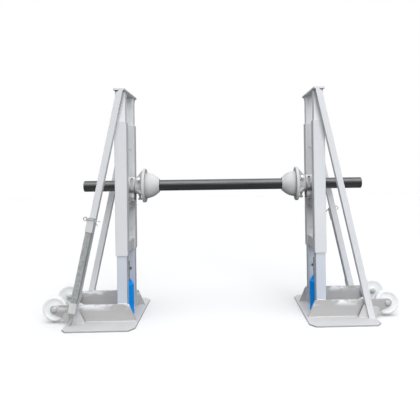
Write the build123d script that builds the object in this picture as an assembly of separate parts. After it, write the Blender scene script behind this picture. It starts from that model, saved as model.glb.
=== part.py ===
"""Cable drum jack: a pair of hydraulic stands with one common drum shaft.

Millimetres, Z up. X runs along the shaft, Y runs across the stands, and the
origin lies on the floor under the middle of the pair. The right stand is the
left stand turned half a turn about Z, so only the left one is described. Its
own outward direction, away from the drum, is called u below.
"""
import os
from math import atan, cos, degrees, sin

from build123d import *

os.makedirs("parts", exist_ok=True)

# Driving dimensions of the pair
STAND_X = 663.0          # middle of the pair to the middle of each stand
HEIGHT = 1543.0          # floor to the top of the cap
SHAFT_Z = 895.0          # height of the drum shaft as shown
SHAFT_R = 38.0
SHAFT_LENGTH = 1946.0
SHAFT_SHIFT = 20.0       # the shaft stands a little to the right
BUSH_PLAY = 0.08         # radial play of the shaft in bushes and cones

# Base plate, from the stand middle outwards
PLATE_T = 8.0
PLATE_IN = 108.0
PLATE_OUT = 352.0
PLATE_HALF = 410.0
CUT_IN_X, CUT_IN_Y = 35.0, 55.0          # clipped corners towards the drum
CUT_OUT_X, CUT_OUT_Y = 32.0, 45.0        # clipped corners at the wheels

# Uprights and the sleeves that slide on them
UPRIGHT = 66.0
UPRIGHT_WALL = 5.0
UPRIGHT_Y = 165.0
SLIDE_PLAY = 0.5
SLEEVE_WALL = 6.5
BRACE_GAP = 1.0                          # between a sleeve and the brace beside it
TUBE_EDGE = 5.0                          # rounded long edges of the tubes
SLEEVE_DOWN, SLEEVE_UP = 459.0, 431.0    # sleeve ends below and above the shaft line
LIFT_DOWN = 125.0                        # travel of the carriage below the shown height
LOCK_HOLE_R = 9.0

# Cap and braces
CAP_T = 12.0
CAP_LIP = 6.0                            # cap beyond the uprights, towards the drum
BRACE_W, BRACE_D, BRACE_WALL = 40.0, 50.0, 4.0
BRACE_TOP = 11.68                        # outer edge of a brace under the cap
BRACE_SET = 5.26                         # outer edge of its foot, in from the plate edge
BRACE_CLIP = 16.0

# Stiffening plates at the brace feet
GUSSET_T = 8.0
INNER_LENGTH, INNER_HEIGHT, INNER_TIP = 68.0, 82.0, 12.0
OUTER_REACH, OUTER_HEIGHT = 29.0, 72.0

# Side walls and their wheel brackets
WALL_FOOT_SET, WALL_TOP_SET = 16.0, 11.0
WALL_LIP = 12.0
WALL_CORNER = 12.0                       # rounded upper corner towards the drum
BRACKET_REACH = 93.0                     # wheel axle beyond the plate edge
NOSE_R = 27.0

# Wheels and their bolts
WHEEL_R, WHEEL_W = 80.0, 46.0
WHEEL_LIFT = 13.0                        # wheels clear of the floor
WHEEL_HUB_R, WHEEL_HUB_W, WHEEL_WEB = 24.0, 50.0, 30.0
WHEEL_RIM = 18.0
WHEEL_GAP = 0.5
WHEEL_PLAY = 0.05
AXLE_R = 10.0
AXLE_HOLE_PLAY = 0.2
AXLE_HEAD, AXLE_NUT, AXLE_END = 12.0, 16.0, 5.0

# Beams between the sleeves, placed from the shaft line
BEAM_WALL = 6.0
SADDLE_W, SADDLE_H = 70.0, 66.0
SADDLE_DROP = 89.0                       # shaft line to the top of the saddle beam
JACK_BEAM_W, JACK_BEAM_H = 60.0, 70.0
JACK_BEAM_DROP = 379.0
EAR_LENGTH, EAR_T, EAR_H, EAR_LAP = 124.0, 8.0, 36.0, 14.0
SLEEVE_SCREW_R, SLEEVE_SCREW_U = 4.0, -8.0
SLEEVE_SCREW_LOW, SLEEVE_SCREW_HIGH = 140.0, 168.0
BEAM_SCREW_Y, BEAM_SCREW_DOWN = 62.0, 19.0

# Bearing
BUSH_T, HOUSING_WALL, HOUSING_HALF = 10.0, 13.0, 67.0
CAP_GAP = 0.5
FOOT_LENGTH, FOOT_W = 120.0, 77.4
FOOT_PLAY = 0.3
FOOT_BOLT_R, FOOT_BOLT_PLAY = 8.0, 0.2
FOOT_BOLT_X, FOOT_BOLT_UP = 50.0, 16.0
CAP_SCREW_X, CAP_SCREW_R, CAP_SCREW_EDGE = 48.0, 4.0, 2.0
BOSS_R, BOSS_UP, BOSS_DOWN = 9.0, 45.0, 26.0

# Cones, measured along the shaft from the bearing towards the drum
CONE_GAP = 2.0
HUB_LENGTH, RIM_T, DOME_LENGTH, DOME_MIDDLE, TIP_LENGTH = 52.0, 18.0, 88.0, 46.0, 6.0
HUB_R, RIM_R, CONE_R, MIDDLE_R, DOME_R, TIP_R = 58.0, 118.0, 89.0, 79.5, 51.0, 48.0
RIB_T = 12.0
SCREW_BACK = 27.0                        # hub end to the clamping screws
SCREW_R, SCREW_OUT = 8.0, 28.0
SCREW_PLAY = 0.3

# Bottle jack
JACK_TOP = 240.0
RESERVOIR_R = 44.0
RAM_R = 18.0
RAM_PLAY = 0.08
RAM_LEFT_OUT = 6.0                       # ram above the jack at the lowest setting
BORE_FLOOR = 24.0
HEAD_R, HEAD_T, HEAD_GAP = 20.0, 14.0, 0.3
EXTENSION_R = 11.0
JACK_TURN = 30.0                         # pump side, from outwards towards the rear
BASE_R, BASE_OUT, BASE_HALF, BASE_H = 46.0, 98.0, 32.0, 26.0
BASE_CORNER, BASE_EDGE = 12.0, 3.0
PUMP_OUT, PUMP_R, PUMP_TOP = 76.0, 10.0, 116.0
PIVOT_OUT, PIVOT_Z, PIVOT_R = 63.0, 156.0, 5.0
LUG_GAP, LUG_T = 22.0, 8.0
ROCKER_LEAN = 3.5
VALVE_R, VALVE_LENGTH, VALVE_SET = 6.0, 26.0, 18.0

# Lever carried on one brace, measured along the brace from its foot
LEVER = 38.0
LEVER_WALL = 3.0
LEVER_TIP_R, LEVER_TIP_LENGTH = 13.0, 60.0
TIP_PLAY, TIP_WALL = 0.4, 3.6            # of the lever end in the pump rocker
SOCKET_WALL, SOCKET_PLAY = 3.5, 0.5
LOW_SOCKET, LOW_SOCKET_LENGTH = 83.0, 67.0
HIGH_SOCKET, HIGH_SOCKET_LENGTH = 616.0, 76.0
LEVER_BELOW, LEVER_ABOVE = 11.0, 11.0    # beyond the lower socket and the clip
CLIP_R, CLIP_GAP = 2.3, 0.7

# Sizes that follow from the values above
SLEEVE_BORE = UPRIGHT + 2 * SLIDE_PLAY
SLEEVE = SLEEVE_BORE + 2 * SLEEVE_WALL
WALL_T = SLIDE_PLAY + SLEEVE_WALL + BRACE_GAP    # the walls fill the room of a sleeve
WALL_FACE = UPRIGHT_Y + UPRIGHT / 2 + WALL_T
INSIDE = UPRIGHT_Y - SLEEVE / 2                  # inner faces of the sleeves
SLEEVE_LOW, SLEEVE_HIGH = SHAFT_Z - SLEEVE_DOWN, SHAFT_Z + SLEEVE_UP
SADDLE_Z = SHAFT_Z - SADDLE_DROP                 # top of the saddle beam
JACK_BEAM_Z = SHAFT_Z - JACK_BEAM_DROP - JACK_BEAM_H
LOCK_HOLE_Z = SLEEVE_LOW - LIFT_DOWN - 2 * LOCK_HOLE_R
AXLE_U, AXLE_Z = PLATE_OUT + BRACKET_REACH, WHEEL_R + WHEEL_LIFT
WALL_TOP = AXLE_Z + NOSE_R
CAP_Z = HEIGHT - CAP_T
SLOPE = (PLATE_OUT - BRACE_SET - BRACE_TOP) / (CAP_Z - PLATE_T)
TILT = atan(SLOPE)
BRACE_X = BRACE_W / cos(TILT)                    # width of a brace along X
BUSH_R = SHAFT_R + BUSH_T
HOUSING_R = BUSH_R + HOUSING_WALL
CAP_SCREW_Y = BUSH_R + CAP_SCREW_EDGE + CAP_SCREW_R
SOCKET_BORE = LEVER + 2 * SOCKET_PLAY
SOCKET = SOCKET_BORE + 2 * SOCKET_WALL
LEVER_Y = WALL_FACE + BRACE_D + SOCKET / 2
left = {}


def brace_edge(z):
    """Outer edge of a brace at height z, outwards from the stand middle."""
    return BRACE_TOP + SLOPE * (CAP_Z - z)


def box(x0, x1, y0, y1, z0, z1):
    return Pos((x0 + x1) / 2, (y0 + y1) / 2, (z0 + z1) / 2) * Box(x1 - x0, y1 - y0, z1 - z0)


def slab(points, y0, y1):
    """Plate in the XZ plane from outward and height values, between two Y values."""
    face = Plane.XZ * Polygon(*[(-u, z) for u, z in points], align=None)
    return Pos(0, y0, 0) * extrude(face, amount=y1 - y0, dir=(0, 1, 0))


def along_x(radius, x0, x1, y=0.0, z=0.0):
    return Pos((x0 + x1) / 2, y, z) * Rot(0, 90, 0) * Cylinder(radius, abs(x1 - x0))


def along_y(radius, y0, y1, x=0.0, z=0.0):
    return Pos(x, (y0 + y1) / 2, z) * Rot(90, 0, 0) * Cylinder(radius, abs(y1 - y0))


def along_z(radius, z0, z1, x=0.0, y=0.0):
    return Pos(x, y, (z0 + z1) / 2) * Cylinder(radius, z1 - z0)


def hexagon(flats, height):
    return extrude(RegularPolygon(flats / 2, 6, major_radius=False), amount=height)


def square_tube(outer, bore, z0, z1, y):
    half, hole = outer / 2, bore / 2
    tube = box(-half, half, y - half, y + half, z0, z1)
    tube = fillet(tube.edges().filter_by(Axis.Z), TUBE_EDGE)
    return tube - box(-hole, hole, y - hole, y + hole, z0 - 1, z1 + 1)


def beam(width, height, z):
    """Square tube between the sleeves, with its underside at height z."""
    half, hole = width / 2, width / 2 - BEAM_WALL
    tube = box(-half, half, -INSIDE, INSIDE, z, z + height)
    return tube - box(-hole, hole, -INSIDE - 1, INSIDE + 1, z + BEAM_WALL, z + height - BEAM_WALL)


def on_brace(part, y):
    """Place a part drawn along Z from a brace foot onto the brace line."""
    foot = -(brace_edge(PLATE_T) - BRACE_X / 2)
    return Pos(foot, y, PLATE_T) * Rot(0, degrees(TILT), 0) * part


SIDES = (("front", -1), ("rear", 1))

# Base plate with clipped corners
corners = []
for side in (1, -1):
    inner = [(PLATE_IN, side * (PLATE_HALF - CUT_IN_Y)), (PLATE_IN - CUT_IN_X, side * PLATE_HALF)]
    outer = [(-PLATE_OUT + CUT_OUT_X, side * PLATE_HALF), (-PLATE_OUT, side * (PLATE_HALF - CUT_OUT_Y))]
    corners += (inner + outer)[::side]
left["base_plate"] = extrude(Polygon(*corners, align=None), amount=PLATE_T)

# Side walls, drawn out beyond the plate as wheel brackets with a rounded nose
lip_z = PLATE_T + WALL_LIP
reach = (BRACKET_REACH ** 2 + (AXLE_Z - lip_z) ** 2) ** 0.5
tangent = (reach ** 2 - NOSE_R ** 2) ** 0.5
rise = atan((AXLE_Z - lip_z) / BRACKET_REACH) - atan(NOSE_R / tangent)
wall_shape = [
    (-PLATE_IN + WALL_FOOT_SET, PLATE_T), (PLATE_OUT, PLATE_T), (PLATE_OUT, lip_z),
    (PLATE_OUT + tangent * cos(rise), lip_z + tangent * sin(rise)),
    (AXLE_U, AXLE_Z), (AXLE_U, WALL_TOP), (-UPRIGHT / 2 - WALL_TOP_SET, WALL_TOP),
]
for name, side in SIDES:
    y0, y1 = sorted((side * (WALL_FACE - WALL_T), side * WALL_FACE))
    wall = slab(wall_shape, y0, y1) + along_y(NOSE_R, y0, y1, -AXLE_U, AXLE_Z)
    wall = fillet(wall.edges().filter_by(Axis.Y).group_by(Axis.Z)[-1].sort_by(Axis.X)[-1], WALL_CORNER)
    hole = along_y(AXLE_R + AXLE_HOLE_PLAY, y0 - 1, y1 + 1, -AXLE_U, AXLE_Z)
    left["wall_" + name] = wall - hole

# Uprights with one locking hole each, in the wall that faces the jack
for name, side in SIDES:
    post = square_tube(UPRIGHT, UPRIGHT - 2 * UPRIGHT_WALL, PLATE_T, CAP_Z, side * UPRIGHT_Y)
    face = UPRIGHT_Y - UPRIGHT / 2
    y0, y1 = sorted((side * (face - 1), side * (face + UPRIGHT_WALL + 1)))
    left["upright_" + name] = post - along_y(LOCK_HOLE_R, y0, y1, 0, LOCK_HOLE_Z)

cap_half = WALL_FACE + BRACE_D
left["top_cap"] = box(-UPRIGHT / 2, UPRIGHT / 2 + CAP_LIP, -cap_half, cap_half, CAP_Z, HEIGHT)

# Braces: rectangular tube with a clipped upper corner
clip_z = CAP_Z - BRACE_CLIP
brace_shape = [
    (brace_edge(PLATE_T) - BRACE_X, PLATE_T), (brace_edge(PLATE_T), PLATE_T),
    (brace_edge(clip_z), clip_z), (BRACE_TOP - BRACE_CLIP, CAP_Z), (BRACE_TOP - BRACE_X, CAP_Z),
]
wall_x = BRACE_WALL / cos(TILT)
below, above = PLATE_T - 10, CAP_Z + 10
brace_bore = [
    (brace_edge(below) - BRACE_X + wall_x, below), (brace_edge(below) - wall_x, below),
    (brace_edge(above) - wall_x, above), (brace_edge(above) - BRACE_X + wall_x, above),
]
for name, side in SIDES:
    y0, y1 = sorted((side * WALL_FACE, side * (WALL_FACE + BRACE_D)))
    tube = slab(brace_shape, y0, y1)
    left["brace_" + name] = tube - slab(brace_bore, y0 + BRACE_WALL, y1 - BRACE_WALL)

# Stiffening plates at the brace feet, inner triangles and outer rounded plates
top = PLATE_T + INNER_HEIGHT
inner_plate = [
    (brace_edge(PLATE_T) - BRACE_X - INNER_LENGTH, PLATE_T), (brace_edge(PLATE_T) - BRACE_X, PLATE_T),
    (brace_edge(top) - BRACE_X, top), (brace_edge(top) - BRACE_X - INNER_TIP, top),
]
top, end = PLATE_T + OUTER_HEIGHT, PLATE_OUT + OUTER_REACH
outer_plate = [
    (brace_edge(PLATE_T), PLATE_T), (PLATE_OUT, PLATE_T), (end - 7, top - 48), (end, top - 36),
    (end, top - 20), (end - 7, top - 8), (end - 17, top - 2), (brace_edge(top), top),
]
plates = []
for name, side in SIDES:
    middle = side * (WALL_FACE + BRACE_D / 2)
    for outline in (inner_plate, outer_plate):
        plates.append(slab(outline, middle - GUSSET_T / 2, middle + GUSSET_T / 2))
left["brace_gussets"] = Compound(children=plates)

# Short tubes on the front brace that carry the lever
holders = []
for start, length in ((LOW_SOCKET, LOW_SOCKET_LENGTH), (HIGH_SOCKET, HIGH_SOCKET_LENGTH)):
    tube = Box(SOCKET, SOCKET, length) - Box(SOCKET_BORE, SOCKET_BORE, length + 2)
    holders.append(on_brace(Pos(0, 0, start + length / 2) * tube, -LEVER_Y))
left["lever_sockets"] = Compound(children=holders)

# Lever: square tube with a round end that fits the pump rocker
clip_s = HIGH_SOCKET + HIGH_SOCKET_LENGTH + CLIP_GAP + CLIP_R
bottom, top = LOW_SOCKET - LEVER_BELOW, clip_s + LEVER_ABOVE
half, hole = LEVER / 2, LEVER / 2 - LEVER_WALL
bar = box(-half, half, -half, half, bottom, top)
bar -= box(-hole, hole, -hole, hole, bottom + LEVER, top + 1)
bar += along_z(LEVER_TIP_R, bottom - LEVER_TIP_LENGTH, bottom + 2)
bar -= along_x(CLIP_R + 0.5, -LEVER, LEVER, 0, clip_s)
left["lever"] = on_brace(bar, -LEVER_Y)

# Spring clip through the lever, just above the upper socket
near = -SOCKET / 2 - CLIP_R - CLIP_GAP   # the second leg lies in front of the socket
ring_r = 12.0
ring = Pos(near - ring_r - 0.5, 0, 0) * Rot(90, 0, 0) * Torus(ring_r, CLIP_R + 0.4)
pin = along_x(CLIP_R, near - 0.5, LEVER + 22)
start = near - 2.4
bends = [(start, 0, -6.5), (start, near, -6.5), (half + 5, near, -6.5), (half + 25, near, -22)]
line = FilletPolyline(*bends, radius=5)
leg = sweep(Plane(origin=bends[0], z_dir=(0, -1, 0)) * Circle(CLIP_R), path=line)
left["lever_clip"] = on_brace(Pos(0, 0, clip_s) * ring.fuse(pin, leg), -LEVER_Y)

# Wheels on the inner sides of the brackets, with their bolts
half, web, hub = WHEEL_W / 2, WHEEL_WEB / 2, WHEEL_HUB_W / 2
rim = WHEEL_R - WHEEL_RIM
wheel_shape = [
    (AXLE_R + WHEEL_PLAY, -hub), (WHEEL_HUB_R, -hub), (WHEEL_HUB_R, -web), (rim, -web),
    (rim + 2, -half), (WHEEL_R - 5, -half), (WHEEL_R, 6 - half), (WHEEL_R, half - 6),
    (WHEEL_R - 5, half), (rim + 2, half), (rim, web), (WHEEL_HUB_R, web),
    (WHEEL_HUB_R, hub), (AXLE_R + WHEEL_PLAY, hub),
]
wheel_y = WALL_FACE - WALL_T - WHEEL_GAP - hub
nut_y = wheel_y - hub - WHEEL_GAP
bolts = []
for name, side in SIDES:
    disc = revolve(Plane.XZ * Polygon(*wheel_shape, align=None), axis=Axis.Z)
    left["wheel_" + name] = Pos(-AXLE_U, side * wheel_y, AXLE_Z) * Rot(90, 0, 0) * disc
    y0, y1 = sorted((side * (nut_y - AXLE_NUT - AXLE_END), side * WALL_FACE))
    bolt = along_y(AXLE_R, y0, y1, -AXLE_U, AXLE_Z)
    for y, height in ((WALL_FACE + AXLE_HEAD, AXLE_HEAD), (nut_y, AXLE_NUT)):
        bolt += Pos(-AXLE_U, side * y, AXLE_Z) * Rot(90 * side, 0, 0) * hexagon(3 * AXLE_R, height)
    bolts.append(bolt)
left["wheel_bolts"] = Compound(children=bolts)

# Sleeves that slide on the uprights, and the beams between them
for name, side in SIDES:
    y = side * UPRIGHT_Y
    left["sleeve_" + name] = square_tube(SLEEVE, SLEEVE_BORE, SLEEVE_LOW, SLEEVE_HIGH, y)
left["jack_beam"] = beam(JACK_BEAM_W, JACK_BEAM_H, JACK_BEAM_Z)

# Saddle beam with two ears that hold the foot of the bearing between them
saddle = beam(SADDLE_W, SADDLE_H, SADDLE_Z - SADDLE_H)
ear_y = FOOT_W / 2 + FOOT_PLAY
bolt_z = SADDLE_Z + FOOT_BOLT_UP
for name, side in SIDES:
    y0, y1 = sorted((side * ear_y, side * (ear_y + EAR_T)))
    ear = box(-EAR_LENGTH / 2, EAR_LENGTH / 2, y0, y1, SADDLE_Z - EAR_LAP, SADDLE_Z + EAR_H)
    ear -= box(-SADDLE_W / 2, SADDLE_W / 2, y0, y1, SADDLE_Z - EAR_LAP, SADDLE_Z - BEAM_WALL)
    for x in (-FOOT_BOLT_X, FOOT_BOLT_X):
        ear -= along_y(FOOT_BOLT_R + FOOT_BOLT_PLAY, y0 - 1, y1 + 1, x, bolt_z)
    saddle += ear
saddle -= along_x(SLEEVE_SCREW_R, 0, SADDLE_W, -BEAM_SCREW_Y, SADDLE_Z - BEAM_SCREW_DOWN)
left["saddle_beam"] = saddle

# Bearing: lower housing on a foot, half bush, and a cap held by four screws in bosses
far = 2 * HOUSING_R
split = SHAFT_Z + CAP_GAP
screws = [(x, y) for x in (-CAP_SCREW_X, CAP_SCREW_X) for y in (-CAP_SCREW_Y, CAP_SCREW_Y)]
drum = along_x(HOUSING_R, -HOUSING_HALF, HOUSING_HALF, 0, SHAFT_Z)
lower = drum & box(-far, far, -far, far, SHAFT_Z - far, SHAFT_Z)
upper = drum & box(-far, far, -far, far, split, SHAFT_Z + far)
lower += box(-FOOT_LENGTH / 2, FOOT_LENGTH / 2, -FOOT_W / 2, FOOT_W / 2, SADDLE_Z, SHAFT_Z - SHAFT_R)
for x, y in screws:
    lower += along_z(BOSS_R, SHAFT_Z - BOSS_DOWN, SHAFT_Z, x, y)
    upper -= along_z(BOSS_R, SHAFT_Z + BOSS_UP, SHAFT_Z + far, x, y)
    upper += along_z(BOSS_R, split, SHAFT_Z + BOSS_UP, x, y)
lower -= along_x(BUSH_R, -far, far, 0, SHAFT_Z)
upper -= along_x(SHAFT_R + CAP_GAP, -far, far, 0, SHAFT_Z)
for x, y in screws:
    hole = along_z(CAP_SCREW_R, SHAFT_Z - BOSS_DOWN + 3, SHAFT_Z + BOSS_UP + 1, x, y)
    lower, upper = lower - hole, upper - hole
for x in (-FOOT_BOLT_X, FOOT_BOLT_X):
    lower -= along_y(FOOT_BOLT_R + FOOT_BOLT_PLAY, -FOOT_W, FOOT_W, x, bolt_z)
left["bearing_housing"] = lower
left["bearing_cap"] = upper
bush = along_x(BUSH_R, 1 - HOUSING_HALF, HOUSING_HALF - 1, 0, SHAFT_Z)
bush -= along_x(SHAFT_R + BUSH_PLAY, -far, far, 0, SHAFT_Z)
left["bearing_bush"] = bush & box(-far, far, -far, far, SHAFT_Z - far, SHAFT_Z)

# Bolts of the carriage: cap screws, foot bolts, small screws in sleeves and beam
bolts = []
for x, y in screws:
    bolt = along_z(CAP_SCREW_R, SHAFT_Z - BOSS_DOWN + 4, SHAFT_Z + BOSS_UP, x, y)
    bolts.append(bolt + Pos(x, y, SHAFT_Z + BOSS_UP) * hexagon(13, 8))
grip = ear_y + EAR_T
for x in (-FOOT_BOLT_X, FOOT_BOLT_X):
    bolt = along_y(FOOT_BOLT_R, -grip - 13, grip, x, bolt_z)
    for y, turn, height in ((-grip, 90, 10), (grip, -90, 9)):
        bolt += Pos(x, y, bolt_z) * Rot(turn, 0, 0) * hexagon(24, height)
    bolts.append(bolt)
for z in (SLEEVE_LOW + SLEEVE_SCREW_LOW, SLEEVE_HIGH - SLEEVE_SCREW_HIGH):
    for name, side in SIDES:
        x = -SLEEVE_SCREW_U
        y0, y1 = sorted((side * INSIDE, side * (INSIDE + SLEEVE_WALL - SLIDE_PLAY)))
        bolt = Pos(x, side * INSIDE, z) * Rot(90 * side, 0, 0) * hexagon(13, 6)
        bolts.append(bolt + along_y(SLEEVE_SCREW_R, y0, y1, x, z))
        left["sleeve_" + name] -= along_y(SLEEVE_SCREW_R, y0 - 1, y1 + 1, x, z)
bolt = Rot(0, 90, 0) * hexagon(13, 6)
bolt += along_x(SLEEVE_SCREW_R, -BEAM_WALL, 0)
bolts.append(Pos(SADDLE_W / 2, -BEAM_SCREW_Y, SADDLE_Z - BEAM_SCREW_DOWN) * bolt)
left["carriage_bolts"] = Compound(children=bolts)

# Bottle jack body: round base with a lobe for the pump, reservoir with a conical top, neck, lugs
base_top = PLATE_T + BASE_H
body = box(-BASE_OUT, 0, -BASE_HALF, BASE_HALF, PLATE_T, base_top)
body = fillet(body.edges().filter_by(Axis.Z).group_by(Axis.X)[0], BASE_CORNER)
body += along_z(BASE_R, PLATE_T, base_top)
body = fillet(body.edges().group_by(Axis.Z)[-1], BASE_EDGE)
cone_low, cone_high = JACK_TOP - 34, JACK_TOP - 6
body += along_z(RESERVOIR_R, base_top - 4, cone_low)
body += Pos(0, 0, (cone_low + cone_high) / 2) * Cone(RESERVOIR_R, RAM_R + 9, cone_high - cone_low)
body += along_z(RAM_R + 8, cone_high - 2, JACK_TOP)
body += along_z(PUMP_R, base_top - 4, PUMP_TOP, -PUMP_OUT)
for name, side in SIDES:
    y0, y1 = sorted((side * LUG_GAP / 2, side * (LUG_GAP / 2 + LUG_T)))
    lug = box(-PIVOT_OUT - 10, -RESERVOIR_R + 14, y0, y1, PIVOT_Z - 36, PIVOT_Z + 11)
    body += lug - along_y(PIVOT_R + 0.1, y0 - 1, y1 + 1, -PIVOT_OUT, PIVOT_Z)
body -= along_z(RAM_R + RAM_PLAY, PLATE_T + BORE_FLOOR, JACK_TOP + 1)
valve_y, valve_z = BASE_HALF - VALVE_SET, (PLATE_T + base_top) / 2
body -= along_x(VALVE_R + 0.1, -BASE_OUT - 1, VALVE_LENGTH + 4 - BASE_OUT, valve_y, valve_z)
left["jack_body"] = body

# Ram, with its extension screw turned out to the beam
ram_low = PLATE_T + BORE_FLOOR + LIFT_DOWN + 2
ram_top = JACK_TOP + LIFT_DOWN + RAM_LEFT_OUT
head_top = JACK_BEAM_Z - HEAD_GAP
ram = along_z(RAM_R, ram_low, ram_top)
ram += along_z(EXTENSION_R, ram_top - 2, head_top - HEAD_T + 2)
left["jack_ram"] = ram + along_z(HEAD_R, head_top - HEAD_T, head_top)

# Pump rocker with its pivot, the socket of the lever, and the nose over the pump
inside = LEVER_TIP_R + TIP_PLAY
cheek = LUG_GAP / 2 - 0.5
rocker = along_y(PIVOT_R, -LUG_GAP / 2 - LUG_T, LUG_GAP / 2 + LUG_T)
rocker += along_y(10, -cheek, cheek) + box(-9, 9, -9, 9, 0, 26)
rocker += along_z(inside + TIP_WALL, 22, 106) - along_z(inside, 34, 107)
rocker = Rot(0, -ROCKER_LEAN, 0) * rocker
nose = PUMP_OUT - PIVOT_OUT
rocker += box(-nose, 0, -9, 9, -12, 2) + along_y(9, -9, 9, -nose, -5)
left["jack_handle_socket"] = Pos(-PIVOT_OUT, 0, PIVOT_Z) * rocker

# Release valve with a slotted head
face = -BASE_OUT
valve = along_x(VALVE_R, face - 2, face + VALVE_LENGTH, valve_y, valve_z)
valve += along_x(VALVE_R + 3, face - 14, face - 0.5, valve_y, valve_z)
valve -= box(face - 15, face - 8, valve_y - 3, valve_y + 3, valve_z - 10, valve_z + 10)
left["jack_release_valve"] = valve

# Cone with hub, rim, three ribs and three clamping screws with lock nuts
back = -HOUSING_HALF - CONE_GAP
rim_back = back - HUB_LENGTH
rim_front = rim_back - RIM_T
dome = rim_front - DOME_LENGTH
tip = dome - TIP_LENGTH
bore = SHAFT_R + BUSH_PLAY
outline = Polyline(
    (-dome, DOME_R), (-tip, TIP_R), (-tip, bore), (-back, bore), (-back, HUB_R),
    (-rim_back, HUB_R + 3), (-rim_back, RIM_R), (-rim_front, RIM_R), (-rim_front, CONE_R),
)
outline += ThreePointArc((-rim_front, CONE_R), (DOME_MIDDLE - rim_front, MIDDLE_R), (-dome, DOME_R))
cone = Pos(0, 0, SHAFT_Z) * revolve(Plane.XZ * make_face(outline), axis=Axis.X)
rib_shape = [
    (back - 6, HUB_R - 6), (back - 6, HUB_R + 4), (rim_back + 4, RIM_R - 7),
    (rim_back - 2, RIM_R - 7), (rim_back - 2, HUB_R - 6),
]
for angle in (90, 210, 330):
    cone += Pos(0, 0, SHAFT_Z) * Rot(angle - 90, 0, 0) * slab(rib_shape, -RIB_T / 2, RIB_T / 2)
screws = []
for angle in (270, 150, 30):
    turn = Pos(SCREW_BACK - back, 0, SHAFT_Z) * Rot(angle - 90, 0, 0)
    cone -= turn * along_z(SCREW_R, SHAFT_R - 2, HUB_R + 8)
    screw = along_z(SCREW_R, SHAFT_R + SCREW_PLAY, HUB_R + SCREW_OUT + 1)
    for out, height in ((SCREW_OUT, 14), (2, 9)):
        screw += Pos(0, 0, HUB_R + out) * hexagon(3 * SCREW_R, height)
    screws.append(turn * screw)
left["cone"] = cone
left["cone_screws"] = Compound(children=screws)

# The common drum shaft
half = SHAFT_LENGTH / 2
shaft = along_x(SHAFT_R, SHAFT_SHIFT - half, SHAFT_SHIFT + half, 0, SHAFT_Z)
shaft = chamfer(shaft.edges().filter_by(GeomType.CIRCLE), 3)
export_step(shaft, "parts/drum_shaft.step")

# Both stands: the right one is the left one turned half a turn, both pumps towards the rear
swap = {"front": "rear", "rear": "front"}
for name, shape in left.items():
    spin = JACK_TURN if name.startswith("jack_") and name != "jack_beam" else 0
    export_step(Pos(-STAND_X, 0, 0) * Rot(0, 0, -spin) * shape, "parts/left_" + name + ".step")
    words = [swap.get(word, word) for word in name.split("_")]
    turned_shape = Pos(STAND_X, 0, 0) * Rot(0, 0, 180 + spin) * shape
    export_step(turned_shape, "parts/right_" + "_".join(words) + ".step")
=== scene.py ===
"""Looks of the cable drum jack: paint, castings, welds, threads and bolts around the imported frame."""
import math
import random

import bmesh
import bpy
from mathutils import Matrix, Vector

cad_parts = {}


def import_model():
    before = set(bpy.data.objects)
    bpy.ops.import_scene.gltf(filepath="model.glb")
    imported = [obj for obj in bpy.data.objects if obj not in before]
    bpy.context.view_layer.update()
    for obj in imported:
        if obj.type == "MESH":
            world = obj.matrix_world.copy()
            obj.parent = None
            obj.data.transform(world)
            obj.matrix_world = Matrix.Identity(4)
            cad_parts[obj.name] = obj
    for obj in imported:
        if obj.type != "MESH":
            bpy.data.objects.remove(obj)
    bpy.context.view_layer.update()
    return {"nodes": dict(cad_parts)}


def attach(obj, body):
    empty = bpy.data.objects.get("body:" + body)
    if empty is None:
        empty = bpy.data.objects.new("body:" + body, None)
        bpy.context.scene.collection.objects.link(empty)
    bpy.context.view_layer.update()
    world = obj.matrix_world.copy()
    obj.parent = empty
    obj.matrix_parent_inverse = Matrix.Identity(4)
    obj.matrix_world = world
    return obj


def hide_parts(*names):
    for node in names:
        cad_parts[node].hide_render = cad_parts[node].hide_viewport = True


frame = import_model()
nodes = frame["nodes"]
scene = bpy.context.scene
random.seed(7)

# Sizes of the solids, in metres, as the part's source has them. Heights run from the floor and
# places from the middle of a stand, where outwards means away from the drum.
STAND = 0.663                                       # middle of the pair to the middle of a stand
SHAFT_Z = 0.895
PLATE_T, PLATE_OUT = 0.008, 0.352
WALL_FACE, WALL_IN, WALL_TOP = 0.206, 0.198, 0.120
CAP_Z = 1.531
UPRIGHT_HALF, UPRIGHT_NEAR, UPRIGHT_FAR = 0.033, 0.132, 0.198
SLEEVE_IN = 0.125                                   # inner faces of the sleeves
SADDLE_HALF, SADDLE_LOW, SADDLE_TOP = 0.035, 0.740, 0.806
BEAM_HALF, BEAM_LOW, BEAM_TOP = 0.030, 0.446, 0.516
EAR_FACE = 0.047                                    # outer faces of the ears on the saddle
BRACE_D, SLOPE, BRACE_TOP = 0.050, 0.22, 0.01168
TILT = math.atan(SLOPE)
BRACE_X = 0.040 / math.cos(TILT)
BRACE_FACE = WALL_FACE + BRACE_D
INNER_LENGTH, INNER_HEIGHT, OUTER_HEIGHT = 0.068, 0.082, 0.072     # stiffening plates
GUSSET_HALF = 0.004
SOCKETS = ((0.083, 0.067), (0.616, 0.076))          # lever tubes: start along the brace, length
LEVER_OUT, CLIP_ALONG = 0.023, 0.695                # lever's middle from the brace, clip along it
AXLE_U, AXLE_Z, AXLE_R = 0.445, 0.093, 0.0099
WHEEL_MIDDLE, NUT_FACE = 0.1725, 0.147
CONE_SCREWS_X = 0.096
PUMP_OUT = 0.076                                    # pump from the middle of its jack


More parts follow.
